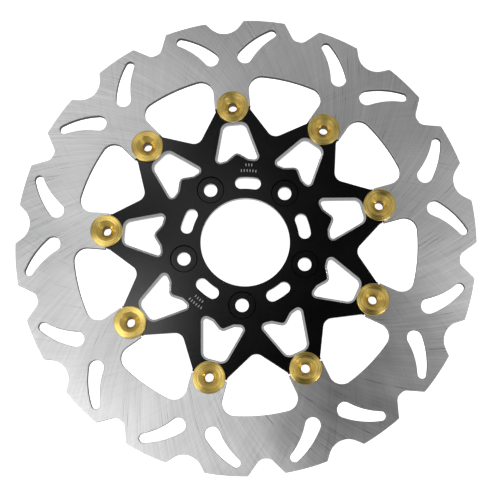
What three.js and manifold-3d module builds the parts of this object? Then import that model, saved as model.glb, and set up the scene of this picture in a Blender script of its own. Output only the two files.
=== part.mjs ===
// Floating brake disc rotor for the front wheel of a motorcycle.
//
// A wave-edged steel friction ring hangs on a nine-armed aluminium carrier. Nine flanged bobbins sit in
// round sockets, half in a tab of the ring and half in the end of an arm, and pass the braking load from
// one to the other. Behind each bobbin a wave spring and a flat washer are held on its shank by a circlip.
//
// Millimetres. +Z lies along the wheel's axle and points outboard, to the side with the bobbin flanges.
// The origin is on the axle, level with the rear ends of the bobbins. +Y points at the first bobbin.

import * as THREE from 'three';
import { mergeVertices } from 'three/addons/utils/BufferGeometryUtils.js';
import Module from 'manifold-3d';

const wasm = await Module();
wasm.setup();

// ---------------------------------------------------------------- driving dimensions

const BOBBIN_COUNT = 9;
const BOLT_COUNT = 5;
const GAP = 0.3; // left between faces that touch on the real disc
const CHORD_ERROR = 0.1; // how far a facet may lie inside the arc it stands for

// Thicknesses, in the order that the pieces stack up from the rear end of a bobbin
const BOBBIN_TAIL = 0.7;
const CIRCLIP_THICKNESS = 0.8;
const FLAT_WASHER_THICKNESS = 0.7;
const WAVE_SPRING_HEIGHT = 1.1;
const DISC_THICKNESS = 5;
const FLANGE_THICKNESS = 1.7;

// Friction ring
const RING_RADIUS = 150;
const RING_BORE_RADIUS = 112.1;
const BROAD_NOTCH = { halfWidth: 12.78, bottom: [[0, 135.35]], rounding: 12.5 };
const NARROW_NOTCH = { halfWidth: 11.83, bottom: [[3.14, 139.44], [-3.14, 139.44]], rounding: 5.1 };
const TAB_HALF_WIDTH = 11.85;
const TAB_END = 90.3; // distance of a tab's end face from the axle
const TAB_ROUNDING = 8.3;
const SLOT_WIDE_END = { x: 11.32, y: 124.88, radius: 5.03 };
const SLOT_NARROW_END = { x: 30.4, y: 138.23, radius: 2.96 };
const SLOT_BOW_RADIUS = 50.7;

// Carrier
const CENTRE_BORE_RADIUS = 29;
const HUB_LAND_RADIUS = 50; // raised land on the rear that seats on the wheel hub
const HUB_LAND_HEIGHT = 0.5;
const ARM_HALF_WIDTH = 11.6; // at its outer end
const ARM_END = 89.3; // distance of an arm's end face from the axle
const ARM_SHOULDER = 88; // where the arm's sides turn from parallel to spreading
const CROTCH_DISTANCE = 71.5; // where the sides of two neighbouring arms would meet
const CROTCH_ROUNDING = 6;
const WINDOW_BEVEL_WIDTH = 1.4;
const WINDOW_BEVEL_DEPTH = 1.2;
// The right half of an arm window's edge on the front face: x, y and rounding of each corner
const WINDOW_CORNERS = [
  [6.56, 53.77, 3.62],
  [15.81, 51.81, 3.4],
  [8.12, 80.3, 5.82],
];
const WINDOW_NOTCH = [0, 58.69, 2.38];

// Hub fixings in the carrier
const BOLT_CIRCLE_RADIUS = 41.275;
const BOLT_HOLE_RADIUS = 4.35;
const BOLT_SEAT_RADIUS = 8.35;
const BOLT_SEAT_DEPTH = 1;
const HUB_SLOT_RADIUS = 39.2; // of its centre line
const HUB_SLOT_HALF_WIDTH = 3.9;
const HUB_SLOT_HALF_ANGLE = THREE.MathUtils.degToRad(6.6);

// Bobbins and what they carry
const BOBBIN_CIRCLE_RADIUS = 90.56;
const SHANK_RADIUS = 7.5;
const FLANGE_RADIUS = 10.45;
const FLANGE_CHAMFER = 0.4;
const TAIL_CHAMFER = 0.3;
const GROOVE_RADIUS = 6.8;
const BOBBIN_BORE_RADIUS = 2.9;
const DISH_RADIUS = 6.7; // recess in the front of the flange
const DISH_STEP_RADIUS = 5.8;
const DISH_STEP_DEPTH = 0.7;
const DISH_DEPTH = 3;
const WASHER_RADIUS = 10.3;
const WAVE_COUNT = 3;
const WAVE_SPRING_STRIP = 0.4;
const WAVE_SPRING_RADIUS = 10;
const CIRCLIP_RADIUS = 8.8;
const CIRCLIP_OPENING = THREE.MathUtils.degToRad(50);
const CIRCLIP_END_ROUNDING = 0.5;
const SMALL_PIECE_FACETS = 18;

// ---------------------------------------------------------------- worked out from them

const SECTOR_ANGLE = 2 * Math.PI / BOBBIN_COUNT;
const BOLT_ANGLE = 2 * Math.PI / BOLT_COUNT;
const HALF_TURN = Math.PI;
const QUARTER_TURN = Math.PI / 2;

const GROOVE_BOTTOM = BOBBIN_TAIL;
const CIRCLIP_BOTTOM = GROOVE_BOTTOM + GAP;
const GROOVE_TOP = CIRCLIP_BOTTOM + CIRCLIP_THICKNESS + GAP;
const WASHER_BOTTOM = GROOVE_TOP;
const SPRING_BOTTOM = WASHER_BOTTOM + FLAT_WASHER_THICKNESS + GAP;
const DISC_REAR = SPRING_BOTTOM + WAVE_SPRING_HEIGHT + GAP;
const DISC_FRONT = DISC_REAR + DISC_THICKNESS;
const HUB_FACE = DISC_REAR - HUB_LAND_HEIGHT;
const FLANGE_BOTTOM = DISC_FRONT + GAP;
const FLANGE_TOP = FLANGE_BOTTOM + FLANGE_THICKNESS;

const AXLE = new THREE.Vector2();
const SOCKET_RADIUS = SHANK_RADIUS + GAP;
const SOCKET_CENTRE = new THREE.Vector2(0, BOBBIN_CIRCLE_RADIUS);
const WASHER_BORE_RADIUS = SHANK_RADIUS + GAP;

// ---------------------------------------------------------------- outlines

// Points of an arc about a centre, both ends included.
function arc(centre, radius, from, to) {
  const step = 2 * Math.acos(1 - CHORD_ERROR / radius);
  const count = Math.max(1, Math.ceil(Math.abs(to - from) / step));
  return Array.from({ length: count + 1 }, (_, i) => {
    const angle = from + (to - from) * i / count;
    return new THREE.Vector2(radius, 0).rotateAround(AXLE, angle).add(centre);
  });
}

// Points of a full circle.
function circle(centre, radius) {
  return arc(centre, radius, 0, 2 * Math.PI).slice(1);
}

// A corner rounded to a radius between its two neighbours.
function roundedCorner(before, corner, after, radius) {
  const toBefore = before.clone().sub(corner).normalize();
  const toAfter = after.clone().sub(corner).normalize();
  const halfAngle = Math.acos(toBefore.dot(toAfter)) / 2;
  const towardsCentre = toBefore.clone().add(toAfter).normalize();
  const centre = corner.clone().addScaledVector(towardsCentre, radius / Math.sin(halfAngle));
  const reach = radius / Math.tan(halfAngle);
  const start = corner.clone().addScaledVector(toBefore, reach).sub(centre).angle();
  const sweep = HALF_TURN - 2 * halfAngle;
  const turnsLeft = toBefore.cross(toAfter) < 0;
  return arc(centre, radius, start, turnsLeft ? start + sweep : start - sweep);
}

// An outline from its corners, given as x, y and an optional rounding.
function roundedOutline(corners) {
  const points = corners.map(([x, y]) => new THREE.Vector2(x, y));
  return corners.flatMap(([, , rounding], i) => {
    const after = points[(i + 1) % points.length];
    return rounding ? roundedCorner(points.at(i - 1), points[i], after, rounding) : [points[i]];
  });
}

// The outline moved inwards by a distance. Its points run counter-clockwise.
function inset(outline, distance) {
  return outline.map((point, i) => {
    const before = point.clone().sub(outline.at(i - 1)).normalize();
    const after = outline[(i + 1) % outline.length].clone().sub(point).normalize();
    const along = before.clone().add(after).normalize();
    const inwards = new THREE.Vector2(-along.y, along.x);
    return point.clone().addScaledVector(inwards, distance / along.dot(before));
  });
}

function mirrored(points) {
  return points.map(([x, y, rounding]) => [-x, y, rounding]).reverse();
}

function rotated(points, angle) {
  return points.map((point) => point.clone().rotateAround(AXLE, angle));
}

function rotatedCorners(corners, angle) {
  return corners.map(([x, y, rounding]) => {
    const turned = new THREE.Vector2(x, y).rotateAround(AXLE, angle);
    return [turned.x, turned.y, rounding];
  });
}

const asCorners = (points) => points.map(({ x, y }) => [x, y]);

// One copy of what make() returns for each sector, joined into one list.
function aroundTheAxle(count, make) {
  return Array.from({ length: count }, (_, i) => make(i * 2 * Math.PI / count)).flat();
}

// ---------------------------------------------------------------- solids

function extruded(outline, holes, bottom, height) {
  const shape = new THREE.Shape(outline);
  shape.holes = holes.map((hole) => new THREE.Path(hole));
  const geometry = new THREE.ExtrudeGeometry(shape, { depth: height, bevelEnabled: false });
  return geometry.translate(0, 0, bottom);
}

// A closed body through outlines that have the same number of points, the lowest first.
function lofted(levels) {
  const count = levels[0].outline.length;
  const positions = levels.flatMap(({ outline, height }) => outline.flatMap(({ x, y }) => [x, y, height]));
  const triangles = [];
  for (let start = 0; start < (levels.length - 1) * count; start += count) {
    for (let i = 0; i < count; i++) {
      const near = start + i;
      const far = start + (i + 1) % count;
      triangles.push(near, far, far + count, near, far + count, near + count);
    }
  }
  const top = (levels.length - 1) * count;
  for (const [a, b, c] of THREE.ShapeUtils.triangulateShape(levels[0].outline, [])) {
    triangles.push(a, c, b);
  }
  for (const [a, b, c] of THREE.ShapeUtils.triangulateShape(levels.at(-1).outline, [])) {
    triangles.push(top + a, top + b, top + c);
  }
  const geometry = new THREE.BufferGeometry();
  geometry.setAttribute('position', new THREE.Float32BufferAttribute(positions, 3));
  geometry.setIndex(triangles);
  return geometry;
}

// A body turned about the Z axis from a closed profile of [radius, height] points.
function turned(profile) {
  const points = [...profile, profile[0]].map(([radius, height]) => new THREE.Vector2(radius, height));
  return new THREE.LatheGeometry(points, SMALL_PIECE_FACETS).rotateX(QUARTER_TURN);
}

function toManifold(geometry) {
  const bare = geometry.clone();
  bare.deleteAttribute('normal');
  bare.deleteAttribute('uv');
  const merged = mergeVertices(bare);
  return new wasm.Manifold(new wasm.Mesh({
    numProp: 3,
    vertProperties: new Float32Array(merged.attributes.position.array),
    triVerts: new Uint32Array(merged.index.array),
  }));
}

function fromManifold(solid) {
  const { vertProperties, triVerts } = solid.getMesh();
  const geometry = new THREE.BufferGeometry();
  geometry.setAttribute('position', new THREE.BufferAttribute(vertProperties, 3));
  geometry.setIndex(new THREE.BufferAttribute(triVerts, 1));
  return geometry;
}

// ---------------------------------------------------------------- friction ring

// The corners of a notch in the ring's outer edge, counter-clockwise about the axle.
function notchCorners({ halfWidth, bottom, rounding }, angle) {
  const mouthY = Math.sqrt(RING_RADIUS ** 2 - halfWidth ** 2);
  const corners = [
    [halfWidth, mouthY],
    ...bottom.map(([x, y]) => [x, y, rounding]),
    [-halfWidth, mouthY],
  ];
  return rotatedCorners(corners, angle);
}

// The outer edge of one sector: a broad notch outside the bobbin, a narrow one between two bobbins.
function ringOuterEdge(angle) {
  const broadHalf = Math.asin(BROAD_NOTCH.halfWidth / RING_RADIUS);
  const narrowHalf = Math.asin(NARROW_NOTCH.halfWidth / RING_RADIUS);
  const broadAxis = QUARTER_TURN + angle;
  const narrowAxis = broadAxis + SECTOR_ANGLE / 2;
  const nextBroadAxis = broadAxis + SECTOR_ANGLE;
  const firstLand = arc(AXLE, RING_RADIUS, broadAxis + broadHalf, narrowAxis - narrowHalf);
  const secondLand = arc(AXLE, RING_RADIUS, narrowAxis + narrowHalf, nextBroadAxis - broadHalf);
  return [
    ...notchCorners(BROAD_NOTCH, angle),
    ...asCorners(firstLand.slice(1, -1)),
    ...notchCorners(NARROW_NOTCH, angle + SECTOR_ANGLE / 2),
    ...asCorners(secondLand.slice(1, -1)),
  ];
}

// The inner edge of one sector, counter-clockwise: a tab with its half socket, then the bore's arc.
function ringInnerEdge(angle) {
  const socketDrop = Math.asin((BOBBIN_CIRCLE_RADIUS - TAB_END) / SOCKET_RADIUS);
  const socket = arc(SOCKET_CENTRE, SOCKET_RADIUS, -socketDrop, HALF_TURN + socketDrop);
  const rootY = Math.sqrt(RING_BORE_RADIUS ** 2 - TAB_HALF_WIDTH ** 2);
  const rootAngle = Math.asin(TAB_HALF_WIDTH / RING_BORE_RADIUS);
  const roundingAngle = (TAB_HALF_WIDTH + TAB_ROUNDING) / RING_BORE_RADIUS;
  const boreFrom = QUARTER_TURN + rootAngle;
  const boreTo = QUARTER_TURN + SECTOR_ANGLE - rootAngle;
  const boreArc = arc(AXLE, RING_BORE_RADIUS, boreFrom, boreTo);
  const clearOfRounding = boreArc.filter((point) => {
    const fromTab = point.angle() - QUARTER_TURN;
    return fromTab > roundingAngle && fromTab < SECTOR_ANGLE - roundingAngle;
  });
  const corners = [
    [TAB_HALF_WIDTH, rootY, TAB_ROUNDING],
    [TAB_HALF_WIDTH, TAB_END],
    ...asCorners(socket),
    [-TAB_HALF_WIDTH, TAB_END],
    [-TAB_HALF_WIDTH, rootY, TAB_ROUNDING],
    ...asCorners(clearOfRounding),
  ];
  return rotatedCorners(corners, angle);
}

// A tapering slot that bows outwards from its wide end, beside the bobbin, to its narrow end.
function ringSlot(side, angle) {
  const wide = new THREE.Vector2(SLOT_WIDE_END.x, SLOT_WIDE_END.y);
  const narrow = new THREE.Vector2(SLOT_NARROW_END.x, SLOT_NARROW_END.y);
  const chord = narrow.clone().sub(wide);
  const bowDepth = Math.sqrt(SLOT_BOW_RADIUS ** 2 - (chord.length() / 2) ** 2);
  const towardsBowCentre = new THREE.Vector2(chord.y, -chord.x).normalize();
  const bowCentre = wide.clone().lerp(narrow, 0.5).addScaledVector(towardsBowCentre, bowDepth);
  const wideAngle = wide.clone().sub(bowCentre).angle();
  const narrowAngle = narrow.clone().sub(bowCentre).angle();
  const sideSteps = 5;
  const sidePoint = (share, sign) => {
    const halfWidth = THREE.MathUtils.lerp(SLOT_WIDE_END.radius, SLOT_NARROW_END.radius, share);
    const direction = THREE.MathUtils.lerp(wideAngle, narrowAngle, share);
    const reach = new THREE.Vector2(SLOT_BOW_RADIUS + sign * halfWidth, 0);
    return reach.rotateAround(AXLE, direction).add(bowCentre);
  };
  const shares = Array.from({ length: sideSteps - 1 }, (_, i) => (i + 1) / sideSteps);
  const points = [
    ...arc(narrow, SLOT_NARROW_END.radius, narrowAngle - HALF_TURN, narrowAngle),
    ...shares.map((share) => sidePoint(1 - share, 1)),
    ...arc(wide, SLOT_WIDE_END.radius, wideAngle, wideAngle + HALF_TURN),
    ...shares.map((share) => sidePoint(share, -1)),
  ];
  return rotated(points.map(({ x, y }) => new THREE.Vector2(side * x, y)), angle);
}

function frictionRing() {
  const outside = roundedOutline(aroundTheAxle(BOBBIN_COUNT, ringOuterEdge));
  const inside = roundedOutline(aroundTheAxle(BOBBIN_COUNT, ringInnerEdge));
  const slots = aroundTheAxle(BOBBIN_COUNT, (angle) => [ringSlot(1, angle), ringSlot(-1, angle)]);
  return extruded(outside, [inside, ...slots], DISC_REAR, DISC_THICKNESS);
}

// ---------------------------------------------------------------- carrier

// One arm's outer edge, counter-clockwise: its end with the half socket, then the crotch to the next arm.
function carrierOuterEdge(angle) {
  const socketDrop = Math.asin((BOBBIN_CIRCLE_RADIUS - ARM_END) / SOCKET_RADIUS);
  const socket = arc(SOCKET_CENTRE, SOCKET_RADIUS, -socketDrop, socketDrop - HALF_TURN);
  const crotch = rotatedCorners([[0, CROTCH_DISTANCE, CROTCH_ROUNDING]], SECTOR_ANGLE / 2);
  const corners = [
    [ARM_HALF_WIDTH, ARM_SHOULDER],
    [ARM_HALF_WIDTH, ARM_END],
    ...asCorners(socket),
    [-ARM_HALF_WIDTH, ARM_END],
    [-ARM_HALF_WIDTH, ARM_SHOULDER],
    ...crotch,
  ];
  return rotatedCorners(corners, angle);
}

// A hub slot: an arc about the axle with round ends.
function hubSlot(angle) {
  const middle = QUARTER_TURN + angle;
  const from = middle - HUB_SLOT_HALF_ANGLE;
  const to = middle + HUB_SLOT_HALF_ANGLE;
  const endCentre = (direction) => new THREE.Vector2(HUB_SLOT_RADIUS, 0).rotateAround(AXLE, direction);
  return [[
    ...arc(AXLE, HUB_SLOT_RADIUS + HUB_SLOT_HALF_WIDTH, from, to).slice(1, -1),
    ...arc(endCentre(to), HUB_SLOT_HALF_WIDTH, to, to + HALF_TURN),
    ...arc(AXLE, HUB_SLOT_RADIUS - HUB_SLOT_HALF_WIDTH, to, from).slice(1, -1),
    ...arc(endCentre(from), HUB_SLOT_HALF_WIDTH, from + HALF_TURN, from + 2 * HALF_TURN),
  ]];
}

// Bolt holes lie midway between the hub slots.
function boltCentre(angle) {
  const direction = QUARTER_TURN + BOLT_ANGLE / 2 + angle;
  return new THREE.Vector2(BOLT_CIRCLE_RADIUS, 0).rotateAround(AXLE, direction);
}

// The shallow round recess that a bolt's head sits in.
function boltSeatCutter(angle) {
  const edge = circle(boltCentre(angle), BOLT_SEAT_RADIUS);
  return extruded(edge, [], DISC_FRONT - BOLT_SEAT_DEPTH, BOLT_SEAT_DEPTH + GAP);
}

// The body that cuts a hole straight through the carrier.
function holeCutter(outline) {
  return extruded(outline, [], HUB_FACE - GAP, DISC_FRONT - HUB_FACE + 2 * GAP);
}

// The body that cuts one arm's window, with the bevel round its front edge.
function windowCutter(angle) {
  const corners = [WINDOW_NOTCH, ...WINDOW_CORNERS, ...mirrored(WINDOW_CORNERS)];
  const frontEdge = rotated(roundedOutline(corners), angle);
  const throughEdge = inset(frontEdge, WINDOW_BEVEL_WIDTH);
  return lofted([
    { outline: throughEdge, height: DISC_REAR - GAP },
    { outline: throughEdge, height: DISC_FRONT - WINDOW_BEVEL_DEPTH },
    { outline: frontEdge, height: DISC_FRONT },
    { outline: frontEdge, height: DISC_FRONT + GAP },
  ]);
}

function carrier() {
  const outside = roundedOutline(aroundTheAxle(BOBBIN_COUNT, carrierOuterEdge));
  const hubLand = circle(AXLE, HUB_LAND_RADIUS);
  const holes = [
    circle(AXLE, CENTRE_BORE_RADIUS),
    ...aroundTheAxle(BOLT_COUNT, hubSlot),
    ...aroundTheAxle(BOLT_COUNT, (angle) => [circle(boltCentre(angle), BOLT_HOLE_RADIUS)]),
  ];
  const cutters = [
    ...holes.map(holeCutter),
    ...aroundTheAxle(BOLT_COUNT, boltSeatCutter),
    ...aroundTheAxle(BOBBIN_COUNT, windowCutter),
  ];
  const plate = toManifold(extruded(outside, [], DISC_REAR, DISC_THICKNESS));
  const blank = plate.add(toManifold(extruded(hubLand, [], HUB_FACE, HUB_LAND_HEIGHT + GAP)));
  return fromManifold(cutters.reduce((solid, cutter) => solid.subtract(toManifold(cutter)), blank));
}

// ---------------------------------------------------------------- bobbin and what it carries

function bobbin() {
  return turned([
    [BOBBIN_BORE_RADIUS, 0],
    [SHANK_RADIUS - TAIL_CHAMFER, 0],
    [SHANK_RADIUS, TAIL_CHAMFER],
    [SHANK_RADIUS, GROOVE_BOTTOM],
    [GROOVE_RADIUS, GROOVE_BOTTOM],
    [GROOVE_RADIUS, GROOVE_TOP],
    [SHANK_RADIUS, GROOVE_TOP],
    [SHANK_RADIUS, FLANGE_BOTTOM],
    [FLANGE_RADIUS, FLANGE_BOTTOM],
    [FLANGE_RADIUS, FLANGE_TOP - FLANGE_CHAMFER],
    [FLANGE_RADIUS - FLANGE_CHAMFER, FLANGE_TOP],
    [DISH_RADIUS, FLANGE_TOP],
    [DISH_STEP_RADIUS, FLANGE_TOP - DISH_STEP_DEPTH],
    [BOBBIN_BORE_RADIUS, FLANGE_TOP - DISH_DEPTH],
  ]);
}

function flatWasher() {
  return turned([
    [WASHER_BORE_RADIUS, WASHER_BOTTOM],
    [WASHER_RADIUS, WASHER_BOTTOM],
    [WASHER_RADIUS, WASHER_BOTTOM + FLAT_WASHER_THICKNESS],
    [WASHER_BORE_RADIUS, WASHER_BOTTOM + FLAT_WASHER_THICKNESS],
  ]);
}

// A flat strip bent into a ring that rises and falls as it goes round.
function waveSpring() {
  const waveHeight = (WAVE_SPRING_HEIGHT - WAVE_SPRING_STRIP) / 2;
  const geometry = turned([
    [WASHER_BORE_RADIUS, SPRING_BOTTOM + waveHeight],
    [WAVE_SPRING_RADIUS, SPRING_BOTTOM + waveHeight],
    [WAVE_SPRING_RADIUS, SPRING_BOTTOM + waveHeight + WAVE_SPRING_STRIP],
    [WASHER_BORE_RADIUS, SPRING_BOTTOM + waveHeight + WAVE_SPRING_STRIP],
  ]);
  const position = geometry.attributes.position;
  for (let i = 0; i < position.count; i++) {
    const angle = Math.atan2(position.getY(i), position.getX(i));
    position.setZ(i, position.getZ(i) + waveHeight * Math.cos(WAVE_COUNT * angle));
  }
  return geometry;
}

// An open ring that snaps into the bobbin's groove. Its opening points away from the axle.
function circlip() {
  const from = QUARTER_TURN + CIRCLIP_OPENING / 2;
  const to = QUARTER_TURN + 2 * Math.PI - CIRCLIP_OPENING / 2;
  const outerEdge = asCorners(arc(AXLE, CIRCLIP_RADIUS, from, to));
  const innerEdge = asCorners(arc(AXLE, GROOVE_RADIUS + GAP, to, from));
  outerEdge[0].push(CIRCLIP_END_ROUNDING);
  outerEdge.at(-1).push(CIRCLIP_END_ROUNDING);
  return extruded(roundedOutline([...outerEdge, ...innerEdge]), [], CIRCLIP_BOTTOM, CIRCLIP_THICKNESS);
}

// ---------------------------------------------------------------- finishes

const GROUND_STEEL = new THREE.MeshStandardMaterial({ color: '#a9abac', roughness: 0.38, metalness: 1 });
const BLACK_ANODISED = new THREE.MeshStandardMaterial({ color: '#17171a', roughness: 0.45, metalness: 0.6 });
const GOLD_ANODISED = new THREE.MeshStandardMaterial({ color: '#c7a03c', roughness: 0.28, metalness: 1 });
const SPRING_STEEL = new THREE.MeshStandardMaterial({ color: '#6f7278', roughness: 0.4, metalness: 1 });
const ZINC_PLATE = new THREE.MeshStandardMaterial({ color: '#b9bcc0', roughness: 0.35, metalness: 1 });

// ---------------------------------------------------------------- assembly

function namedMesh(name, geometry, material) {
  const mesh = new THREE.Mesh(geometry, material);
  mesh.name = name;
  return mesh;
}

// One bobbin with its spring, washer and circlip, placed on the bobbin circle.
function bobbinSet(index) {
  const number = index + 1;
  const angle = index * SECTOR_ANGLE;
  const set = new THREE.Group();
  set.add(
    namedMesh(`bobbin_${number}`, bobbin(), GOLD_ANODISED),
    namedMesh(`wave_spring_${number}`, waveSpring(), SPRING_STEEL),
    namedMesh(`flat_washer_${number}`, flatWasher(), ZINC_PLATE),
    namedMesh(`circlip_${number}`, circlip(), SPRING_STEEL),
  );
  set.position.set(-BOBBIN_CIRCLE_RADIUS * Math.sin(angle), BOBBIN_CIRCLE_RADIUS * Math.cos(angle), 0);
  set.rotation.z = angle;
  return set;
}

const rotor = new THREE.Group();
rotor.add(namedMesh('friction_ring', frictionRing(), GROUND_STEEL));
rotor.add(namedMesh('carrier', carrier(), BLACK_ANODISED));
for (let index = 0; index < BOBBIN_COUNT; index++) {
  rotor.add(bobbinSet(index));
}

export default rotor;
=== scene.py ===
import math

import bpy
from mathutils import Matrix, Vector
from mathutils.geometry import delaunay_2d_cdt


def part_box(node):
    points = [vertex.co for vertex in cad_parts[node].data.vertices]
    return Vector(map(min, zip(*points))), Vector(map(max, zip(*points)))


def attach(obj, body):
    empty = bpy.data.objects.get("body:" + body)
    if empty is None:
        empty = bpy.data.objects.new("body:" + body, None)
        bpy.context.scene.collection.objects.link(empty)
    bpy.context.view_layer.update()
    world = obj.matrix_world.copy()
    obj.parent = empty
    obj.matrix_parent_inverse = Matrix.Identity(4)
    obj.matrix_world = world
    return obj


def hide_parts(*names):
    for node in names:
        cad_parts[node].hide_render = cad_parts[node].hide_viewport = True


# A floating brake disc rotor: a wave-edged ring of ground stainless steel, a nine-armed carrier of black
# anodised aluminium, and nine gold anodised bobbins with their springs, washers and circlips.
# Shapes are worked out in millimetres about the axle and turned into metres as each mesh is made.

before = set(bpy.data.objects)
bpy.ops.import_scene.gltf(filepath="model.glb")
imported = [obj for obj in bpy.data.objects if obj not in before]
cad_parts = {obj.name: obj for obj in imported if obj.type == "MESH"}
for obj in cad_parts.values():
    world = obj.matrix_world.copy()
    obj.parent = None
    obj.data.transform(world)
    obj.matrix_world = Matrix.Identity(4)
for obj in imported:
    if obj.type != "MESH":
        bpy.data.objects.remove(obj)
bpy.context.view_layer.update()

MM = 0.001
FULL_TURN = 2 * math.pi
QUARTER_TURN = math.pi / 2
CHORD_ERROR = 0.008
SMOOTH_ANGLE = math.radians(28)

BOBBIN_COUNT = 9
BOLT_COUNT = 5
SECTOR = FULL_TURN / BOBBIN_COUNT
BOLT_SECTOR = FULL_TURN / BOLT_COUNT


def heights(node):
    """The lowest and the highest point of a CAD node, in millimetres."""
    low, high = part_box(node)
    return low.z / MM, high.z / MM


# Heights along the axle, from the rear ends of the bobbins
RING_REAR, RING_FRONT = heights("friction_ring")
HUB_FACE, PLATE_FRONT = heights("carrier")
PLATE_REAR = RING_REAR
BOLT_SEAT_DEPTH = 1
BOLT_SEAT_FLOOR = PLATE_FRONT - BOLT_SEAT_DEPTH

# Friction ring
RING_RADIUS = 149.94
RING_BORE_RADIUS = 112.1
RING_EDGE = 0.3
GRINDING_SLANT = math.radians(32)  # of the grinding marks, from the radius
FINE_MARKS = (1100, 0.04)  # how many in a turn, and how fast they change along their length
BROAD_MARKS = (260, 0.02)
BROAD_NOTCH = (12.78, [(0, 135.35)], 12.5)  # half width, bottom corners, rounding
NARROW_NOTCH = (11.83, [(3.14, 139.44), (-3.14, 139.44)], 5.1)
TAB_HALF_WIDTH = 11.85
TAB_END = 90.3
TAB_ROUNDING = 8.3
SLOT_WIDE_END = (Vector((11.32, 124.88)), 5.03)  # centre and radius
SLOT_NARROW_END = (Vector((30.4, 138.23)), 2.96)
SLOT_BOW_RADIUS = 50.7
SLOT_SIDE_STEPS = 16

# Carrier
CENTRE_BORE_RADIUS = 29
HUB_LAND_RADIUS = 50
ARM_HALF_WIDTH = 11.6
ARM_END = 89.3
ARM_SHOULDER = 88
CROTCH_DISTANCE = 71.5
CROTCH_ROUNDING = 6
PLATE_EDGE = 0.3
HOLE_EDGE = 0.25
WINDOW_BEVEL_WIDTH = 1.4
WINDOW_BEVEL_DEPTH = 1.2
WINDOW_CORNERS = [(6.56, 53.77, 3.62), (15.81, 51.81, 3.4), (8.12, 80.3, 5.82)]
WINDOW_NOTCH = (0, 58.69, 2.38)
BOLT_CIRCLE_RADIUS = 41.275
BOLT_HOLE_RADIUS = 4.35
BOLT_SEAT_RADIUS = 8.35
BOLT_SEAT_EDGE = 0.6
HUB_SLOT_RADIUS = 39.2
HUB_SLOT_HALF_WIDTH = 3.9
HUB_SLOT_HALF_ANGLE = math.radians(6.6)
MARK_DEPTH = 0.06
MARK_HALF_WIDTH = 0.28
MARK_HALF_HEIGHT = 0.85
MARK_PITCH = 1.9
# Rows of etched marks: the hub slot that they lie outside, their distance from the axle, how many
MARK_ROWS = [(1, 47.4, 6), (1, 51.2, 3), (3, 47.6, 4), (3, 51.4, 6)]

# Bobbins and what they carry
BOBBIN_CIRCLE_RADIUS = 90.56
SHANK_RADIUS = 7.5
SOCKET_RADIUS = 7.8
GROOVE_RADIUS = 6.8
GROOVE_BOTTOM = 0.7
GROOVE_TOP = 2.1
FLANGE_RADIUS = 10.45
FLANGE_BOTTOM = 9.8
FLANGE_TOP = 11.5
FLANGE_ROUNDING = 0.45
BOBBIN_BORE_RADIUS = 2.9
# Inside this radius the bobbin takes the painted shade of its bore
BORE_SHADE_RADIUS = 3.05
DISH_RADIUS = 6.7
DISH_STEP_RADIUS = 5.8
DISH_STEP_DEPTH = 0.7
DISH_DEPTH = 3
WASHER_RADIUS = 10.3
WAVE_SPRING_RADIUS = 10
WAVE_SPRING_STRIP = 0.4
WAVE_COUNT = 3
CIRCLIP_RADIUS = 8.8
CIRCLIP_BODY_RADIUS = 8.45
CIRCLIP_INNER_RADIUS = 7.1
CIRCLIP_OPENING = math.radians(50)
CIRCLIP_LUG_ANGLE = math.radians(17)
CIRCLIP_HOLE_RADIUS = 0.42
TURNED_FACETS = 96

# Places of the finishes in the carrier's list; the last is painted shade for the bolt seats' edge and wall
PLATE, BEVEL, MARK, WINDOW_WALL, SEAT_PAINTED_SHADE = range(5)

AXLE = Vector((0, 0))
SOCKET_CENTRE = Vector((0, BOBBIN_CIRCLE_RADIUS))


# ---------------------------------------------------------------- outlines, in millimetres


def polar(radius, angle):
    return Vector((radius * math.cos(angle), radius * math.sin(angle)))


def turned_by(points, angle):
    """Points turned about the axle."""
    turn = Matrix.Rotation(angle, 2)
    return [turn @ point for point in points]


def corners_turned_by(corners, angle):
    """Corners, given as x, y and a rounding, turned about the axle."""
    turn = Matrix.Rotation(angle, 2)
    return [(*(turn @ Vector((x, y))), rounding) for x, y, rounding in corners]


def mirrored(corners):
    return [(-x, y, rounding) for x, y, rounding in reversed(corners)]


def sharp(points):
    """Points as corners with no rounding."""
    return [(x, y, 0) for x, y in points]


def arc(centre, radius, start, end):
    """Points of an arc about a centre, both ends included."""
    step = 2 * math.acos(1 - CHORD_ERROR / radius)
    count = max(2, math.ceil(abs(end - start) / step))
    return [centre + polar(radius, start + (end - start) * i / count) for i in range(count + 1)]


def circle(centre, radius, count=72):
    return [centre + polar(radius, FULL_TURN * i / count) for i in range(count)]


def rounded_corner(before, corner, after, radius):
    """The points that round a corner between its two neighbours."""
    to_before = (before - corner).normalized()
    to_after = (after - corner).normalized()
    half = math.acos(max(-1, min(1, to_before.dot(to_after)))) / 2
    centre = corner + (to_before + to_after).normalized() * (radius / math.sin(half))
    first = corner + to_before * (radius / math.tan(half)) - centre
    start = math.atan2(first.y, first.x)
    sweep = math.pi - 2 * half
    turns_left = to_before.x * to_after.y - to_before.y * to_after.x < 0
    return arc(centre, radius, start, start + sweep if turns_left else start - sweep)


def outline(corners):
    """A closed line through corners, given as x, y and a rounding, with no point twice."""
    places = [Vector((x, y)) for x, y, _ in corners]
    points = []
    for i, (_, _, rounding) in enumerate(corners):
        after = places[(i + 1) % len(places)]
        points += rounded_corner(places[i - 1], places[i], after, rounding) if rounding else [places[i]]
    return [point for i, point in enumerate(points) if (point - points[i - 1]).length > 1e-3]


def grown(loop, distance):
    """A counter-clockwise loop with each point moved outwards by a distance."""
    moved = []
    for i, point in enumerate(loop):
        before = (point - loop[i - 1]).normalized()
        after = (loop[(i + 1) % len(loop)] - point).normalized()
        along = (before + after).normalized()
        outwards = Vector((along.y, -along.x))
        moved.append(point + outwards * (distance / along.dot(before)))
    return moved


def around(count, make):
    """What make returns for the angle of each copy around the axle, joined into one list."""
    return [item for i in range(count) for item in make(FULL_TURN * i / count)]


# ---------------------------------------------------------------- meshes


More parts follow.
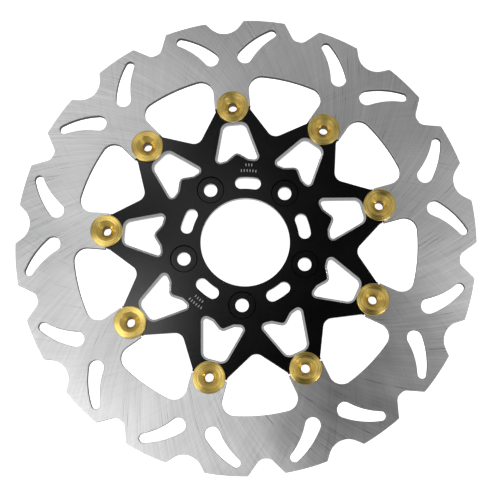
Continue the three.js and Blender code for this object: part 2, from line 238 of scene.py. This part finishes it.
class Shell:
    """A mesh in the making: loops of points joined by walls and closed by flat caps."""

    def __init__(self):
        self.points = []
        self.faces = []
        self.materials = []

    def loop(self, points, height):
        first = len(self.points)
        self.points += [(x, y, height) for x, y in points]
        return range(first, len(self.points))

    def face(self, corners, material):
        self.faces.append(corners)
        self.materials.append(material)

    def wall(self, levels, materials, inside_solid):
        """Joins loops of equal length, the highest first, and returns the first and the last.
        inside_solid says whether the solid is inside the loops, as at an outer edge, or outside them."""
        loops = [self.loop(points, height) for points, height in levels]
        for upper, lower, material in zip(loops, loops[1:], materials):
            for i in range(len(upper)):
                j = (i + 1) % len(upper)
                corners = (lower[i], lower[j], upper[j], upper[i])
                self.face(corners if inside_solid else corners[::-1], material)
        return loops[0], loops[-1]

    def cap(self, loops, material, up):
        """Fills the flat space inside the first loop and outside the others."""
        ids = [i for loop in loops for i in loop]
        places = [Vector(self.points[i][:2]) for i in ids]
        ends = [sum(len(loop) for loop in loops[: k + 1]) for k in range(len(loops))]
        rims = [list(range(end - len(loop), end)) for loop, end in zip(loops, ends)]
        _, _, triangles, sources, _, owners = delaunay_2d_cdt(places, [], rims, 1, 1e-7)
        for triangle, inside in zip(triangles, owners):
            if inside == [0]:
                corners = tuple(ids[sources[i][0]] for i in triangle)
                self.face(corners if up else corners[::-1], material)

    def mesh(self, name, materials):
        mesh = bpy.data.meshes.new(name)
        mesh.from_pydata([Vector(p) * MM for p in self.points], [], self.faces)
        for material in materials:
            mesh.materials.append(material)
        mesh.polygons.foreach_set("material_index", self.materials)
        mesh.polygons.foreach_set("use_smooth", [True] * len(self.faces))
        mesh.update()
        mesh.set_sharp_from_angle(angle=SMOOTH_ANGLE)
        return mesh


def turned(name, profile, materials, lift=None, inner_radius=0):
    """A mesh turned about its own axis from a closed profile of (radius, height), counter-clockwise.
    lift(angle), where given, raises each section. Faces inside inner_radius take the second material."""
    shell = Shell()
    for k in range(TURNED_FACETS):
        angle = FULL_TURN * k / TURNED_FACETS
        raised = lift(angle) if lift else 0
        shell.points += [(*polar(radius, angle), height + raised) for radius, height in profile]
    count = len(profile)
    for k in range(TURNED_FACETS):
        near, far = k * count, (k + 1) % TURNED_FACETS * count
        for i in range(count):
            j = (i + 1) % count
            inside = (profile[i][0] + profile[j][0]) / 2 < inner_radius
            shell.face((near + i, far + i, far + j, near + j), int(inside))
    return shell.mesh(name, materials)


def rounded_profile(corners):
    """A closed profile from corners of radius, height and rounding."""
    return [(x, y) for x, y in outline(corners)]


def place(name, mesh, node, body, slot, location=(0, 0, 0), angle=0):
    """Shows a mesh in place of a CAD node, moving with its body."""
    piece = bpy.data.objects.new(name, mesh)
    piece.location = location
    piece.rotation_euler.z = angle
    bpy.context.scene.collection.objects.link(piece)
    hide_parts(node)
    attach(piece, body)


# ---------------------------------------------------------------- material nodes


def add(tree, kind, inputs=None, **settings):
    """A node with its settings and inputs, each of which is a value or another node's output."""
    node = tree.nodes.new(kind)
    for name, value in settings.items():
        setattr(node, name, value)
    for socket, value in (inputs or {}).items():
        if isinstance(value, bpy.types.NodeSocket):
            tree.links.new(value, node.inputs[socket])
        else:
            node.inputs[socket].default_value = value
    return node


def maths(tree, operation, first, second):
    return add(tree, "ShaderNodeMath", {0: first, 1: second}, operation=operation).outputs[0]


def noise(tree, vector, scale=1.0, detail=2.0, roughness=0.5):
    inputs = {"Vector": vector, "Scale": scale, "Detail": detail, "Roughness": roughness}
    return add(tree, "ShaderNodeTexNoise", inputs).outputs["Fac"]


def spread(tree, value, low, high, to_low, to_high):
    """A value mapped from one range to another and held inside it."""
    inputs = {"Value": value, "From Min": low, "From Max": high, "To Min": to_low, "To Max": to_high}
    return add(tree, "ShaderNodeMapRange", inputs).outputs["Result"]


def shades(tree, value, low, high, dark, light):
    """A colour between dark and light as a value goes from low to high."""
    ramp = add(tree, "ShaderNodeValToRGB", {"Fac": value})
    ramp.color_ramp.elements[0].position = low
    ramp.color_ramp.elements[0].color = (*dark, 1)
    ramp.color_ramp.elements[1].position = high
    ramp.color_ramp.elements[1].color = (*light, 1)
    return ramp.outputs["Color"]


def bump(tree, height, distance, strength):
    inputs = {"Height": height, "Distance": distance, "Strength": strength}
    return add(tree, "ShaderNodeBump", inputs).outputs["Normal"]


def new_material(name):
    material = bpy.data.materials.new(name)
    material.use_nodes = True
    tree = material.node_tree
    tree.nodes.clear()
    position = add(tree, "ShaderNodeTexCoord").outputs["Object"]
    millimetres = add(tree, "ShaderNodeVectorMath", {0: position, "Scale": 1 / MM}, operation="SCALE")
    return material, tree, millimetres.outputs[0]


def surface(tree, shader):
    add(tree, "ShaderNodeOutputMaterial", {"Surface": shader})


def polar_parts(tree, place_mm):
    """A place with its height taken away, and its distance from the piece's own axis."""
    flat = add(tree, "ShaderNodeVectorMath", {0: place_mm, 1: (1, 1, 0)}, operation="MULTIPLY").outputs[0]
    radius = add(tree, "ShaderNodeVectorMath", {0: flat}, operation="LENGTH").outputs["Value"]
    return flat, radius


def streaks(tree, flat, radius, slant, per_turn, along, detail=2.0):
    """Fine lines that cross the ring at a slant from the radius, as a grinding wheel leaves them."""
    turn = maths(tree, "MULTIPLY", maths(tree, "LOGARITHM", radius, math.e), -math.tan(slant))
    twisted = add(
        tree, "ShaderNodeVectorRotate", {"Vector": flat, "Angle": turn}, rotation_type="Z_AXIS"
    ).outputs[0]
    direction = add(tree, "ShaderNodeVectorMath", {0: twisted}, operation="NORMALIZE").outputs[0]
    scaled = add(
        tree, "ShaderNodeVectorMath", {0: direction, "Scale": per_turn / FULL_TURN}, operation="SCALE"
    ).outputs[0]
    outwards = add(tree, "ShaderNodeCombineXYZ", {"Z": maths(tree, "MULTIPLY", radius, along)}).outputs[0]
    place_on_line = add(tree, "ShaderNodeVectorMath", {0: scaled, 1: outwards}, operation="ADD").outputs[0]
    return noise(tree, place_on_line, 1.0, detail)


def ground_steel():
    """Stainless steel ground flat, with two families of fine grinding marks crossing each other."""
    material, tree, place_mm = new_material("ground_steel_face")
    flat, radius = polar_parts(tree, place_mm)
    cloud = noise(tree, place_mm, 0.02, 3.0)
    tangent = add(tree, "ShaderNodeTangent", direction_type="RADIAL", axis="Z").outputs[0]
    shaders = []
    for slant in (GRINDING_SLANT, -GRINDING_SLANT):
        fine = streaks(tree, flat, radius, slant, *FINE_MARKS)
        broad = streaks(tree, flat, radius, slant, *BROAD_MARKS, 3.0)
        marks = maths(tree, "ADD", maths(tree, "MULTIPLY", fine, 0.7), maths(tree, "MULTIPLY", broad, 0.3))
        toned = maths(tree, "ADD", marks, maths(tree, "MULTIPLY", cloud, 0.3))
        surface_inputs = {
            "Base Color": shades(tree, toned, 0.43, 0.87, (0.5, 0.5, 0.505), (0.78, 0.78, 0.78)),
            "Metallic": 1.0,
            "Roughness": spread(tree, toned, 0.4, 0.9, 0.26, 0.34),
            "Anisotropic": 0.7,
            "Anisotropic Rotation": (slant / FULL_TURN) % 1.0,
            "Tangent": tangent,
            "Normal": bump(tree, marks, 0.00001, 0.3),
        }
        shaders.append(add(tree, "ShaderNodeBsdfPrincipled", surface_inputs).outputs[0])
    share = spread(tree, cloud, 0.35, 0.65, 0.15, 0.4)
    surface(tree, add(tree, "ShaderNodeMixShader", {0: share, 1: shaders[0], 2: shaders[1]}).outputs[0])
    return material


def cut_steel():
    """The laser-cut edge of the ring: dull, with marks that run through the thickness."""
    material, tree, place_mm = new_material("cut_steel_edge")
    stretched = add(
        tree, "ShaderNodeVectorMath", {0: place_mm, 1: (3, 3, 0.15)}, operation="MULTIPLY"
    ).outputs[0]
    marks = noise(tree, stretched, 1.0, 3.0, 0.6)
    shader = add(
        tree,
        "ShaderNodeBsdfPrincipled",
        {
            "Base Color": shades(tree, marks, 0.3, 0.7, (0.02, 0.02, 0.02), (0.07, 0.07, 0.068)),
            "Metallic": 0.0,
            "Specular IOR Level": 0.15,
            "Roughness": spread(tree, marks, 0.3, 0.7, 0.6, 0.8),
            "Normal": bump(tree, marks, 0.00006, 0.6),
        },
    )
    surface(tree, shader.outputs[0])
    return material


def satin(name, colours, roughness, grain, depth, metallic=0.0, specular=0.5):
    """A finish with a fine even grain: the grain's size is in marks per millimetre, its depth in metres."""
    material, tree, place_mm = new_material(name)
    marks = noise(tree, place_mm, grain, 4.0, 0.6)
    patches = noise(tree, place_mm, 0.05, 2.0)
    tone = maths(tree, "ADD", marks, maths(tree, "MULTIPLY", patches, 0.5))
    shader = add(
        tree,
        "ShaderNodeBsdfPrincipled",
        {
            "Base Color": shades(tree, tone, 0.5, 1.0, *colours),
            "Metallic": metallic,
            "Specular IOR Level": specular,
            "Roughness": spread(tree, tone, 0.5, 1.0, *roughness),
            "Normal": bump(tree, marks, depth, 0.5),
        },
    )
    surface(tree, shader.outputs[0])
    return material


def machined(name, colours, roughness, rings_per_mm, depth, anisotropy):
    """Turned metal, with rings about the piece's own axis and a tone that changes a little between them."""
    material, tree, place_mm = new_material(name)
    _, radius = polar_parts(tree, place_mm)
    from_axis = maths(tree, "MULTIPLY", radius, rings_per_mm)
    line = add(tree, "ShaderNodeCombineXYZ", {"X": from_axis}).outputs[0]
    rings = noise(tree, line, 1.0, 3.0, 0.7)
    specks = noise(tree, place_mm, 1.5, 3.0)
    tone = maths(tree, "ADD", rings, maths(tree, "MULTIPLY", specks, 0.1))
    tangent = add(tree, "ShaderNodeTangent", direction_type="RADIAL", axis="Z").outputs[0]
    shader = add(
        tree,
        "ShaderNodeBsdfPrincipled",
        {
            "Base Color": shades(tree, tone, 0.35, 0.75, *colours),
            "Metallic": 1.0,
            "Roughness": spread(tree, tone, 0.35, 0.75, *roughness),
            "Anisotropic": anisotropy,
            "Anisotropic Rotation": 0.25,
            "Tangent": tangent,
            "Normal": bump(tree, rings, depth, 0.6),
        },
    )
    surface(tree, shader.outputs[0])
    return material


# ---------------------------------------------------------------- friction ring


def notch_corners(notch, angle):
    half_width, bottom, rounding = notch
    mouth = math.sqrt(RING_RADIUS**2 - half_width**2)
    corners = [(half_width, mouth, 0), *((x, y, rounding) for x, y in bottom), (-half_width, mouth, 0)]
    return corners_turned_by(corners, angle)


def ring_outer_edge(angle):
    """One sector: a broad notch outside the bobbin, a narrow one between two bobbins, and two lands."""
    broad_half = math.asin(BROAD_NOTCH[0] / RING_RADIUS)
    narrow_half = math.asin(NARROW_NOTCH[0] / RING_RADIUS)
    broad_axis = QUARTER_TURN + angle
    narrow_axis = broad_axis + SECTOR / 2
    first_land = arc(AXLE, RING_RADIUS, broad_axis + broad_half, narrow_axis - narrow_half)
    second_land = arc(AXLE, RING_RADIUS, narrow_axis + narrow_half, broad_axis + SECTOR - broad_half)
    return [
        *notch_corners(BROAD_NOTCH, angle),
        *sharp(first_land[1:-1]),
        *notch_corners(NARROW_NOTCH, angle + SECTOR / 2),
        *sharp(second_land[1:-1]),
    ]


def ring_inner_edge(angle):
    """One sector: a tab with its half of the socket, two root fillets and the arc to the next tab."""
    drop = math.asin((BOBBIN_CIRCLE_RADIUS - TAB_END) / SOCKET_RADIUS)
    fillet_x = TAB_HALF_WIDTH + TAB_ROUNDING
    fillet_distance = RING_BORE_RADIUS - TAB_ROUNDING
    fillet_y = math.sqrt(fillet_distance**2 - fillet_x**2)
    lean = math.asin(fillet_x / fillet_distance)
    bore_start = QUARTER_TURN + lean
    points = [
        *arc(Vector((fillet_x, fillet_y)), TAB_ROUNDING, QUARTER_TURN - lean, math.pi),
        Vector((TAB_HALF_WIDTH, TAB_END)),
        *arc(SOCKET_CENTRE, SOCKET_RADIUS, -drop, math.pi + drop),
        Vector((-TAB_HALF_WIDTH, TAB_END)),
        *arc(Vector((-fillet_x, fillet_y)), TAB_ROUNDING, 0, bore_start),
        *arc(AXLE, RING_BORE_RADIUS, bore_start, bore_start + SECTOR - 2 * lean)[1:-1],
    ]
    return sharp(turned_by(points, angle))


def ring_slot(side, angle):
    """A tapering slot that bows outwards from its wide end, beside the bobbin, to its narrow end."""
    (wide, wide_radius), (narrow, narrow_radius) = SLOT_WIDE_END, SLOT_NARROW_END
    chord = narrow - wide
    bow_depth = math.sqrt(SLOT_BOW_RADIUS**2 - (chord.length / 2) ** 2)
    bow_centre = wide.lerp(narrow, 0.5) + Vector((chord.y, -chord.x)).normalized() * bow_depth
    wide_angle = math.atan2(*(wide - bow_centre).yx)
    narrow_angle = math.atan2(*(narrow - bow_centre).yx)

    def side_point(share, sign):
        half_width = wide_radius + (narrow_radius - wide_radius) * share
        direction = wide_angle + (narrow_angle - wide_angle) * share
        return bow_centre + polar(SLOT_BOW_RADIUS + sign * half_width, direction)

    shares = [(i + 1) / SLOT_SIDE_STEPS for i in range(SLOT_SIDE_STEPS - 1)]
    points = [
        *arc(narrow, narrow_radius, narrow_angle - math.pi, narrow_angle),
        *(side_point(1 - share, 1) for share in shares),
        *arc(wide, wide_radius, wide_angle, wide_angle + math.pi),
        *(side_point(share, -1) for share in shares),
    ]
    if side < 0:
        points = [Vector((-x, y)) for x, y in reversed(points)]
    return turned_by(points, angle)


def friction_ring(face, edge):
    shell = Shell()

    def cut(loop, outer):
        into = -RING_EDGE if outer else RING_EDGE
        levels = [
            (grown(loop, into), RING_FRONT),
            (loop, RING_FRONT - RING_EDGE),
            (loop, RING_REAR + RING_EDGE),
            (grown(loop, into), RING_REAR),
        ]
        return shell.wall(levels, [0, 1, 0], outer)

    slots = around(BOBBIN_COUNT, lambda angle: [ring_slot(1, angle), ring_slot(-1, angle)])
    edges = [
        cut(outline(around(BOBBIN_COUNT, ring_outer_edge)), True),
        cut(outline(around(BOBBIN_COUNT, ring_inner_edge)), False),
        *(cut(slot, False) for slot in slots),
    ]
    shell.cap([front for front, _ in edges], 0, True)
    shell.cap([rear for _, rear in edges], 0, False)
    return shell.mesh("friction_ring_mesh", [face, edge])


# ---------------------------------------------------------------- carrier


def carrier_outer_edge(angle):
    """One arm: its end with its half of the socket, then the crotch to the next arm."""
    drop = math.asin((BOBBIN_CIRCLE_RADIUS - ARM_END) / SOCKET_RADIUS)
    socket = arc(SOCKET_CENTRE, SOCKET_RADIUS, -drop, drop - math.pi)
    corners = [
        (ARM_HALF_WIDTH, ARM_SHOULDER, 0),
        (ARM_HALF_WIDTH, ARM_END, 0),
        *sharp(socket),
        (-ARM_HALF_WIDTH, ARM_END, 0),
        (-ARM_HALF_WIDTH, ARM_SHOULDER, 0),
        *corners_turned_by([(0, CROTCH_DISTANCE, CROTCH_ROUNDING)], SECTOR / 2),
    ]
    return corners_turned_by(corners, angle)


def arm_window(angle):
    corners = [WINDOW_NOTCH, *WINDOW_CORNERS, *mirrored(WINDOW_CORNERS)]
    return [turned_by(outline(corners), angle)]


def hub_slot(angle):
    """An arc about the axle with round ends."""
    middle = QUARTER_TURN + angle
    start, end = middle - HUB_SLOT_HALF_ANGLE, middle + HUB_SLOT_HALF_ANGLE
    last, first = polar(HUB_SLOT_RADIUS, end), polar(HUB_SLOT_RADIUS, start)
    return [
        [
            *arc(AXLE, HUB_SLOT_RADIUS + HUB_SLOT_HALF_WIDTH, start, end)[1:-1],
            *arc(last, HUB_SLOT_HALF_WIDTH, end, end + math.pi),
            *arc(AXLE, HUB_SLOT_RADIUS - HUB_SLOT_HALF_WIDTH, end, start)[1:-1],
            *arc(first, HUB_SLOT_HALF_WIDTH, start + math.pi, start + FULL_TURN),
        ]
    ]


def mark_outlines():
    """Small upright bars in rows beside two hub slots, where a maker would put its marks."""
    marks = []
    for slot_number, distance, count in MARK_ROWS:
        for i in range(count):
            angle = slot_number * BOLT_SECTOR + (i - (count - 1) / 2) * MARK_PITCH / distance
            x, low, high = MARK_HALF_WIDTH, distance - MARK_HALF_HEIGHT, distance + MARK_HALF_HEIGHT
            bar = [Vector((x, low)), Vector((x, high)), Vector((-x, high)), Vector((-x, low))]
            marks.append(turned_by(bar, angle))
    return marks


def carrier(materials):
    """The star-shaped plate, with the land on its rear that lies on the wheel hub."""
    shell = Shell()
    front_loops, rear_loops, land_loops = [], [], []

    outside = outline(around(BOBBIN_COUNT, carrier_outer_edge))
    front, rear = shell.wall(
        [
            (grown(outside, -PLATE_EDGE), PLATE_FRONT),
            (outside, PLATE_FRONT - PLATE_EDGE),
            (outside, PLATE_REAR + PLATE_EDGE),
            (grown(outside, -PLATE_EDGE), PLATE_REAR),
        ],
        [PLATE, PLATE, PLATE],
        True,
    )
    front_loops.append(front)
    rear_loops.append(rear)

    for window in around(BOBBIN_COUNT, arm_window):
        through = grown(window, -WINDOW_BEVEL_WIDTH)
        levels = [
            (window, PLATE_FRONT),
            (through, PLATE_FRONT - WINDOW_BEVEL_DEPTH),
            (through, PLATE_REAR + PLATE_EDGE),
            (grown(through, PLATE_EDGE), PLATE_REAR),
        ]
        front, rear = shell.wall(levels, [BEVEL, WINDOW_WALL, PLATE], False)
        front_loops.append(front)
        rear_loops.append(rear)

    land_edge = circle(AXLE, HUB_LAND_RADIUS, 180)
    land_levels = [(land_edge, PLATE_REAR), (grown(land_edge, -PLATE_EDGE), HUB_FACE)]
    land_top, land_bottom = shell.wall(land_levels, [PLATE], True)
    rear_loops.append(land_top)
    land_loops.append(land_bottom)

    for loop in [circle(AXLE, CENTRE_BORE_RADIUS, 144), *around(BOLT_COUNT, hub_slot)]:
        levels = [
            (grown(loop, HOLE_EDGE), PLATE_FRONT),
            (loop, PLATE_FRONT - HOLE_EDGE),
            (loop, HUB_FACE + HOLE_EDGE),
            (grown(loop, HOLE_EDGE), HUB_FACE),
        ]
        front, bottom = shell.wall(levels, [PLATE, PLATE, PLATE], False)
        front_loops.append(front)
        land_loops.append(bottom)

    for i in range(BOLT_COUNT):
        centre = polar(BOLT_CIRCLE_RADIUS, QUARTER_TURN + (i + 0.5) * BOLT_SECTOR)
        levels = [
            (circle(centre, BOLT_SEAT_RADIUS + BOLT_SEAT_EDGE), PLATE_FRONT),
            (circle(centre, BOLT_SEAT_RADIUS), PLATE_FRONT - BOLT_SEAT_EDGE),
            (circle(centre, BOLT_SEAT_RADIUS), BOLT_SEAT_FLOOR),
            (circle(centre, BOLT_HOLE_RADIUS + HOLE_EDGE), BOLT_SEAT_FLOOR),
            (circle(centre, BOLT_HOLE_RADIUS), BOLT_SEAT_FLOOR - HOLE_EDGE),
            (circle(centre, BOLT_HOLE_RADIUS), HUB_FACE + HOLE_EDGE),
            (circle(centre, BOLT_HOLE_RADIUS + HOLE_EDGE), HUB_FACE),
        ]
        # The seats' edge and wall take the painted shade finish, the rest is plate
        front, bottom = shell.wall(levels, [SEAT_PAINTED_SHADE] * 2 + [PLATE] * 4, False)
        front_loops.append(front)
        land_loops.append(bottom)

    for mark in mark_outlines():
        front, sunk = shell.wall([(mark, PLATE_FRONT), (mark, PLATE_FRONT - MARK_DEPTH)], [PLATE], False)
        front_loops.append(front)
        shell.cap([sunk], MARK, True)

    shell.cap(front_loops, PLATE, True)
    shell.cap(rear_loops, PLATE, False)
    shell.cap(land_loops, PLATE, False)
    return shell.mesh("carrier_mesh", materials)


# ---------------------------------------------------------------- bobbins and what they carry


def bobbin_profile():
    edge = 0.2
    groove_edge = 0.08
    return rounded_profile(
        [
            (BOBBIN_BORE_RADIUS + edge, 0, 0),
            (SHANK_RADIUS - edge, 0, 0),
            (SHANK_RADIUS, edge, 0),
            (SHANK_RADIUS, GROOVE_BOTTOM, groove_edge),
            (GROOVE_RADIUS, GROOVE_BOTTOM, groove_edge),
            (GROOVE_RADIUS, GROOVE_TOP, groove_edge),
            (SHANK_RADIUS, GROOVE_TOP, groove_edge),
            (SHANK_RADIUS, FLANGE_BOTTOM, edge),
            (FLANGE_RADIUS, FLANGE_BOTTOM, edge),
            (FLANGE_RADIUS, FLANGE_TOP, FLANGE_ROUNDING),
            (FLANGE_RADIUS - 2 * FLANGE_ROUNDING, FLANGE_TOP, 0),
            (DISH_RADIUS + edge, FLANGE_TOP, 0),
            (DISH_RADIUS, FLANGE_TOP, edge / 2),
            (DISH_STEP_RADIUS, FLANGE_TOP - DISH_STEP_DEPTH, edge / 2),
            (BOBBIN_BORE_RADIUS, FLANGE_TOP - DISH_DEPTH, edge),
            (BOBBIN_BORE_RADIUS, edge, 0),
        ]
    )


def washer_profile(inner, outer, bottom, top, edge):
    return rounded_profile(
        [(inner, bottom, edge), (outer, bottom, edge), (outer, top, edge), (inner, top, edge)]
    )


def circlip(material):
    """An open ring with a lug at each end, each with a hole for the pliers."""
    half = CIRCLIP_OPENING / 2
    lug = CIRCLIP_LUG_ANGLE

    def outer_radius(angle):
        """The lugs stand a little further out than the ring between them."""
        from_end = min(angle - half, FULL_TURN - half - angle)
        share = max(0.0, min(1.0, (from_end - lug) / lug))
        smooth = share * share * (3 - 2 * share)
        return CIRCLIP_RADIUS + (CIRCLIP_BODY_RADIUS - CIRCLIP_RADIUS) * smooth

    steps = 120
    angles = [half + (FULL_TURN - 2 * half) * i / steps for i in range(steps + 1)]
    outer = sharp([polar(outer_radius(angle), QUARTER_TURN + angle) for angle in angles])
    inner = sharp([polar(CIRCLIP_INNER_RADIUS, QUARTER_TURN + angle) for angle in reversed(angles)])
    loop = outline([*outer, *inner])
    edge = 0.06
    bottom, top = heights("circlip_1")
    shell = Shell()

    def cut(line, outside):
        face = grown(line, -edge if outside else edge)
        levels = [(face, top), (line, top - edge), (line, bottom + edge), (face, bottom)]
        return shell.wall(levels, [0, 0, 0], outside)

    middle = (CIRCLIP_RADIUS + CIRCLIP_INNER_RADIUS) / 2
    holes = [polar(middle, QUARTER_TURN + side * (half + lug / 2)) for side in (1, -1)]
    edges = [cut(loop, True), *(cut(circle(hole, CIRCLIP_HOLE_RADIUS, 24), False) for hole in holes)]
    shell.cap([front for front, _ in edges], 0, True)
    shell.cap([rear for _, rear in edges], 0, False)
    return shell.mesh("circlip_mesh", [material])


def wave_spring(material):
    """A thin flat ring whose strip rises and falls around it."""
    low, high = heights("wave_spring_1")
    swing = (high - low - WAVE_SPRING_STRIP) / 2
    bottom = low + swing
    profile = washer_profile(SOCKET_RADIUS, WAVE_SPRING_RADIUS, bottom, bottom + WAVE_SPRING_STRIP, 0.1)

    def wave(angle):
        return swing * math.cos(WAVE_COUNT * angle)

    return turned("wave_spring_mesh", profile, [material], lift=wave)


def flat_washer(material):
    bottom, top = heights("flat_washer_1")
    profile = washer_profile(SOCKET_RADIUS, WASHER_RADIUS, bottom, top, 0.12)
    return turned("flat_washer_mesh", profile, [material])


# ---------------------------------------------------------------- the pieces in place

# Colours are given dark and light, then the range of roughness
steel_face = ground_steel()
steel_edge = cut_steel()
black = satin(
    "black_anodised_face",
    ((0.001, 0.001, 0.0012), (0.0025, 0.0025, 0.0028)),
    (0.14, 0.19),
    grain=3.0,
    depth=0.000004,
)
# Painted shade: a flat near-black finish with almost no gloss for the bolt seats' edge and wall, standing
# in for the shade on the counterbore wall
painted_seat_shade = satin(
    "painted_seat_shade_edge",
    ((0.0003, 0.0003, 0.0003), (0.0008, 0.0008, 0.0008)),
    (0.7, 0.85),
    grain=3.0,
    depth=0.00001,
    specular=0.05,
)
bright_bevel = satin(
    "bright_cut_bevel",
    ((0.5, 0.51, 0.52), (0.66, 0.67, 0.68)),
    (0.18, 0.28),
    grain=2.0,
    depth=0.00001,
    metallic=1.0,
)
bright_wall = satin(
    "bright_cut_wall",
    ((0.36, 0.36, 0.37), (0.5, 0.5, 0.51)),
    (0.4, 0.55),
    grain=2.0,
    depth=0.00001,
    metallic=0.2,
    specular=0.2,
)
etched = satin("etched_mark", ((0.5, 0.5, 0.5), (0.7, 0.7, 0.7)), (0.55, 0.7), grain=4.0, depth=0.00002)
gold = machined(
    "gold_anodised_turned",
    ((0.66, 0.46, 0.1), (0.95, 0.71, 0.22)),
    (0.24, 0.36),
    rings_per_mm=1.3,
    depth=0.00001,
    anisotropy=0.75,
)
# Painted shade: the bobbin's bore wall is coloured near black, standing in for the shade inside the narrow
# bore
bore_shade = machined(
    "gold_bore_painted_shade",
    ((0.05, 0.03, 0.01), (0.12, 0.08, 0.03)),
    (0.45, 0.6),
    rings_per_mm=1.0,
    depth=0.00003,
    anisotropy=0.0,
)
spring_steel = machined(
    "spring_steel_strip",
    ((0.1, 0.105, 0.12), (0.2, 0.205, 0.22)),
    (0.3, 0.45),
    rings_per_mm=2.0,
    depth=0.00002,
    anisotropy=0.3,
)
zinc = machined(
    "zinc_plate_washer",
    ((0.5, 0.51, 0.53), (0.68, 0.69, 0.71)),
    (0.25, 0.4),
    rings_per_mm=1.2,
    depth=0.00002,
    anisotropy=0.3,
)

place("ring", friction_ring(steel_face, steel_edge), "friction_ring", "ring", "ground_steel")
carrier_mesh = carrier([black, bright_bevel, etched, bright_wall, painted_seat_shade])
place("carrier_plate", carrier_mesh, "carrier", "carrier", "black_anodised")

bobbin_mesh = turned("bobbin_mesh", bobbin_profile(), [gold, bore_shade], inner_radius=BORE_SHADE_RADIUS)
spring_mesh = wave_spring(spring_steel)
washer_mesh = flat_washer(zinc)
circlip_mesh = circlip(spring_steel)
for index in range(BOBBIN_COUNT):
    number = index + 1
    body = f"bobbin_set_{number}"
    axis = polar(BOBBIN_CIRCLE_RADIUS * MM, QUARTER_TURN + index * SECTOR)
    where = {"location": (*axis, 0), "angle": index * SECTOR}
    place(f"gold_bobbin_{number}", bobbin_mesh, f"bobbin_{number}", body, "gold_anodised", **where)
    place(f"spring_{number}", spring_mesh, f"wave_spring_{number}", body, "spring_steel", **where)
    place(f"washer_{number}", washer_mesh, f"flat_washer_{number}", body, "zinc_plate", **where)
    place(f"clip_{number}", circlip_mesh, f"circlip_{number}", body, "spring_steel", **where)

# ---------------------------------------------------------------- studio

# Where the camera stands, in metres, the way it looks, which way is up for it, and its lens in millimetres
CAMERA_PLACE = Vector((0.12493, -0.01459, 0.78163))
CAMERA_LOOKS = Vector((-0.15223, 0.02079, -0.98813))
CAMERA_UP = Vector((-0.95258, 0.26344, 0.1523))
CAMERA_LENS = 86.77

# Soft square panels of light, all facing straight down from one height. They hang on a grid that is
# turned about the axle: each has its place on the grid, in metres, and its power in watts.
PANEL_HEIGHT = 1.6
PANEL_SIDE = 0.2
PANEL_GRID_TURN = math.radians(74.72)
PANELS = {
    "key": (0.7, -0.5, 6.2),
    "key_fill": (0.7, 0.1, 0.42),
    "left": (-0.7, -0.5, 3.4),
    "left_inner": (-0.5, -0.3, 1.13),
    "left_middle": (-0.7, -0.1, 2.5),
    "left_back": (-0.5, 0.7, 0.65),
    "over_left": (-0.3, 0.1, 0.49),
    "over_back": (-0.3, 0.5, 0.27),
    "over_middle": (-0.1, 0.3, 0.09),
    "back_fill": (0.1, 0.7, 0.27),
    "right_fill": (0.5, 0.3, 0.39),
}

FLOOR_HALF_SIDE = 3.0
FLOOR_GAP = 0.0005
FLOOR_GLOW = 0.9
WALL_STRENGTH = 0.6
CEILING_STRENGTH = 0.0
WALL_FADE = (0.3, 0.7)  # sine of the elevation where the walls begin and end their fade into the ceiling


def look_at(obj, place_m, direction, up):
    """Puts an object at a place so that its own -Z looks along a direction and its +Y is up."""
    back = -direction.normalized()
    side = up.cross(back).normalized()
    top = back.cross(side)
    turn = Matrix((side, top, back)).transposed()
    obj.matrix_world = Matrix.Translation(place_m) @ turn.to_4x4()


def floor():
    """A white floor, lit from within and clear from below."""
    material, tree, place_mm = new_material("studio_floor")
    tone = noise(tree, place_mm, 0.01, 2.0)
    shader = add(
        tree,
        "ShaderNodeBsdfPrincipled",
        {
            "Base Color": shades(tree, tone, 0.3, 0.7, (0.9, 0.9, 0.9), (0.93, 0.93, 0.93)),
            "Roughness": 0.8,
            "Emission Color": (1, 1, 1, 1),
            "Emission Strength": FLOOR_GLOW,
        },
    ).outputs[0]
    clear = add(tree, "ShaderNodeBsdfTransparent").outputs[0]
    backface = add(tree, "ShaderNodeNewGeometry").outputs["Backfacing"]
    surface(tree, add(tree, "ShaderNodeMixShader", {0: backface, 1: shader, 2: clear}).outputs[0])
    mesh = bpy.data.meshes.new("studio_floor_mesh")
    corners = [(-1, -1, 0), (1, -1, 0), (1, 1, 0), (-1, 1, 0)]
    mesh.from_pydata([Vector(corner) * FLOOR_HALF_SIDE for corner in corners], [], [(0, 1, 2, 3)])
    mesh.materials.append(material)
    ground = bpy.data.objects.new("studio_floor", mesh)
    ground.location.z = -FLOOR_GAP
    bpy.context.scene.collection.objects.link(ground)


def panels():
    grid = Matrix.Rotation(PANEL_GRID_TURN, 4, "Z")
    for name, (x, y, power) in PANELS.items():
        light = bpy.data.lights.new(name, "AREA")
        light.shape = "SQUARE"
        light.size = PANEL_SIDE
        light.energy = power
        lamp = bpy.data.objects.new(f"panel_{name}", light)
        bpy.context.scene.collection.objects.link(lamp)
        lamp.matrix_world = grid @ Matrix.Translation((x, y, PANEL_HEIGHT))


def camera():
    data = bpy.data.cameras.new("camera")
    data.lens = CAMERA_LENS
    data.sensor_width = 36
    data.clip_start = 0.01
    eye = bpy.data.objects.new("camera", data)
    bpy.context.scene.collection.objects.link(eye)
    look_at(eye, CAMERA_PLACE, CAMERA_LOOKS, CAMERA_UP)
    bpy.context.scene.camera = eye


def surroundings():
    """Pale walls all round, under a dark ceiling."""
    world = bpy.data.worlds.new("studio")
    world.use_nodes = True
    tree = world.node_tree
    direction = add(tree, "ShaderNodeTexCoord").outputs["Generated"]
    height = add(tree, "ShaderNodeSeparateXYZ", {0: direction}).outputs["Z"]
    background = tree.nodes["Background"]
    background.inputs["Color"].default_value = (1, 1, 1, 1)
    strength = spread(tree, height, *WALL_FADE, WALL_STRENGTH, CEILING_STRENGTH)
    tree.links.new(strength, background.inputs["Strength"])
    bpy.context.scene.world = world
    bpy.context.scene.view_settings.view_transform = "Standard"


floor()
panels()
camera()
surroundings()
